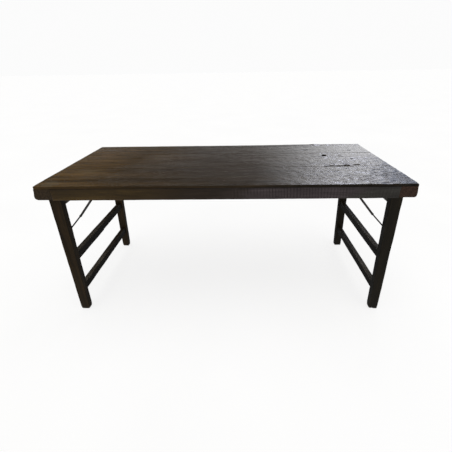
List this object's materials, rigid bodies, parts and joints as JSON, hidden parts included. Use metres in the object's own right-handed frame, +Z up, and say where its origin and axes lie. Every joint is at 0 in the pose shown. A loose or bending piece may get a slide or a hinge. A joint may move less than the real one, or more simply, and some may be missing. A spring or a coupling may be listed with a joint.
{
  "type": "folding table",
  "caption": "Long folding table: planked hardwood top on an apron, splayed leg frames at both ends that fold flat under it, held open by jointed iron stays.",
  "frame": {"origin": "on the floor, under the centre of the top", "axes": "+X along the length of the top, +Y towards the back, +Z up"},
  "size_m": [1.724, 0.756, 0.76],
  "materials": {
    "plank_wood": "old dark stained reclaimed hardwood, satin wax, grain and wear",
    "rail_wood": "dark stained hardwood with saw marks",
    "end_rail_wood": "dark brown hardwood, end grain at the corners",
    "batten_wood": "unfinished old hardwood",
    "leg_wood": "nearly black stained hardwood, worn arrises",
    "peg_wood": "dark hardwood",
    "stay_iron": "blackened wrought iron, dull",
    "hinge_iron": "blackened iron, worn",
    "rivet_iron": "blackened iron",
    "nail_iron": "dark iron nail heads",
    "screw_steel": "dull steel",
    "pin_steel": "steel"
  },
  "bodies": {
    "top": {"plank_front": "plank_wood", "plank_front_inner": "plank_wood", "plank_back_inner": "plank_wood", "plank_back": "plank_wood", "long_rail_front": "rail_wood", "long_rail_back": "rail_wood", "end_rail_left": "end_rail_wood", "end_rail_right": "end_rail_wood", "hinge_batten_left": "batten_wood", "hinge_batten_right": "batten_wood", "stay_batten_left": "batten_wood", "stay_batten_right": "batten_wood", "cross_batten_left": "batten_wood", "cross_batten_centre": "batten_wood", "cross_batten_right": "batten_wood", "plank_nails": "nail_iron", "rail_dowels": "peg_wood", "hinge_top_screws": "screw_steel", "stay_bracket_screws": "screw_steel", "stay_bracket_rivets": "rivet_iron", "hinge_top_leaf_left_front": "hinge_iron", "hinge_pin_left_front": "pin_steel", "stay_bracket_left_front": "stay_iron", "hinge_top_leaf_left_back": "hinge_iron", "hinge_pin_left_back": "pin_steel", "stay_bracket_left_back": "stay_iron", "hinge_top_leaf_right_front": "hinge_iron", "hinge_pin_right_front": "pin_steel", "stay_bracket_right_front": "stay_iron", "hinge_top_leaf_right_back": "hinge_iron", "hinge_pin_right_back": "pin_steel", "stay_bracket_right_back": "stay_iron"},
    "leg_frame_left": {"leg_front_left": "leg_wood", "leg_back_left": "leg_wood", "leg_frame_top_rail_left": "leg_wood", "upper_rung_left": "leg_wood", "lower_rung_left": "leg_wood", "frame_pegs_left": "peg_wood", "hinge_leg_screws_left": "screw_steel", "stay_bolts_left": "rivet_iron", "hinge_leg_leaf_left_front": "hinge_iron", "hinge_leg_leaf_left_back": "hinge_iron"},
    "leg_frame_right": {"leg_front_right": "leg_wood", "leg_back_right": "leg_wood", "leg_frame_top_rail_right": "leg_wood", "upper_rung_right": "leg_wood", "lower_rung_right": "leg_wood", "frame_pegs_right": "peg_wood", "hinge_leg_screws_right": "screw_steel", "stay_bolts_right": "rivet_iron", "hinge_leg_leaf_right_front": "hinge_iron", "hinge_leg_leaf_right_back": "hinge_iron"},
    "stay_lower_left_front": {"stay_lower_link_left_front": "stay_iron"},
    "stay_upper_left_front": {"stay_upper_link_left_front": "stay_iron"},
    "stay_lower_left_back": {"stay_lower_link_left_back": "stay_iron"},
    "stay_upper_left_back": {"stay_upper_link_left_back": "stay_iron"},
    "stay_lower_right_front": {"stay_lower_link_right_front": "stay_iron"},
    "stay_upper_right_front": {"stay_upper_link_right_front": "stay_iron"},
    "stay_lower_right_back": {"stay_lower_link_right_back": "stay_iron"},
    "stay_upper_right_back": {"stay_upper_link_right_back": "stay_iron"}
  },
  "joints": [
    {"name": "leg_fold_left", "type": "hinge", "parent": "top", "child": "leg_frame_left", "pos_m": [-0.762, 0, 0.6915], "axis": [0, -1, 0], "range_deg": [0, 93.1]},
    {"name": "stay_lower_pivot_left_front", "type": "hinge", "parent": "leg_frame_left", "child": "stay_lower_left_front", "pos_m": [-0.797, -0.315, 0.5016], "axis": [0, 1, 0], "range_deg": [0, 129.25]},
    {"name": "stay_upper_pivot_left_front", "type": "hinge", "parent": "top", "child": "stay_upper_left_front", "pos_m": [-0.6159, -0.3111, 0.7], "axis": [0, -1, 0], "range_deg": [0, 125.51]},
    {"name": "stay_lower_pivot_left_back", "type": "hinge", "parent": "leg_frame_left", "child": "stay_lower_left_back", "pos_m": [-0.797, 0.315, 0.5016], "axis": [0, 1, 0], "range_deg": [0, 129.25]},
    {"name": "stay_upper_pivot_left_back", "type": "hinge", "parent": "top", "child": "stay_upper_left_back", "pos_m": [-0.6159, 0.3111, 0.7], "axis": [0, -1, 0], "range_deg": [0, 125.51]},
    {"name": "leg_fold_right", "type": "hinge", "parent": "top", "child": "leg_frame_right", "pos_m": [0.762, 0, 0.6915], "axis": [0, 1, 0], "range_deg": [0, 93.1]},
    {"name": "stay_lower_pivot_right_front", "type": "hinge", "parent": "leg_frame_right", "child": "stay_lower_right_front", "pos_m": [0.797, -0.315, 0.5016], "axis": [0, -1, 0], "range_deg": [0, 129.25]},
    {"name": "stay_upper_pivot_right_front", "type": "hinge", "parent": "top", "child": "stay_upper_right_front", "pos_m": [0.6159, -0.3111, 0.7], "axis": [0, 1, 0], "range_deg": [0, 125.51]},
    {"name": "stay_lower_pivot_right_back", "type": "hinge", "parent": "leg_frame_right", "child": "stay_lower_right_back", "pos_m": [0.797, 0.315, 0.5016], "axis": [0, -1, 0], "range_deg": [0, 129.25]},
    {"name": "stay_upper_pivot_right_back", "type": "hinge", "parent": "top", "child": "stay_upper_right_back", "pos_m": [0.6159, 0.3111, 0.7], "axis": [0, 1, 0], "range_deg": [0, 125.51]}
  ],
  "couplings": [
    {"joint": "stay_lower_pivot_left_front", "follows": "leg_fold_left", "ratio": 1.3882},
    {"joint": "stay_upper_pivot_left_front", "follows": "leg_fold_left", "ratio": 1.348},
    {"joint": "stay_lower_pivot_left_back", "follows": "leg_fold_left", "ratio": 1.3882},
    {"joint": "stay_upper_pivot_left_back", "follows": "leg_fold_left", "ratio": 1.348},
    {"joint": "stay_lower_pivot_right_front", "follows": "leg_fold_right", "ratio": 1.3882},
    {"joint": "stay_upper_pivot_right_front", "follows": "leg_fold_right", "ratio": 1.348},
    {"joint": "stay_lower_pivot_right_back", "follows": "leg_fold_right", "ratio": 1.3882},
    {"joint": "stay_upper_pivot_right_back", "follows": "leg_fold_right", "ratio": 1.348}
  ]
}
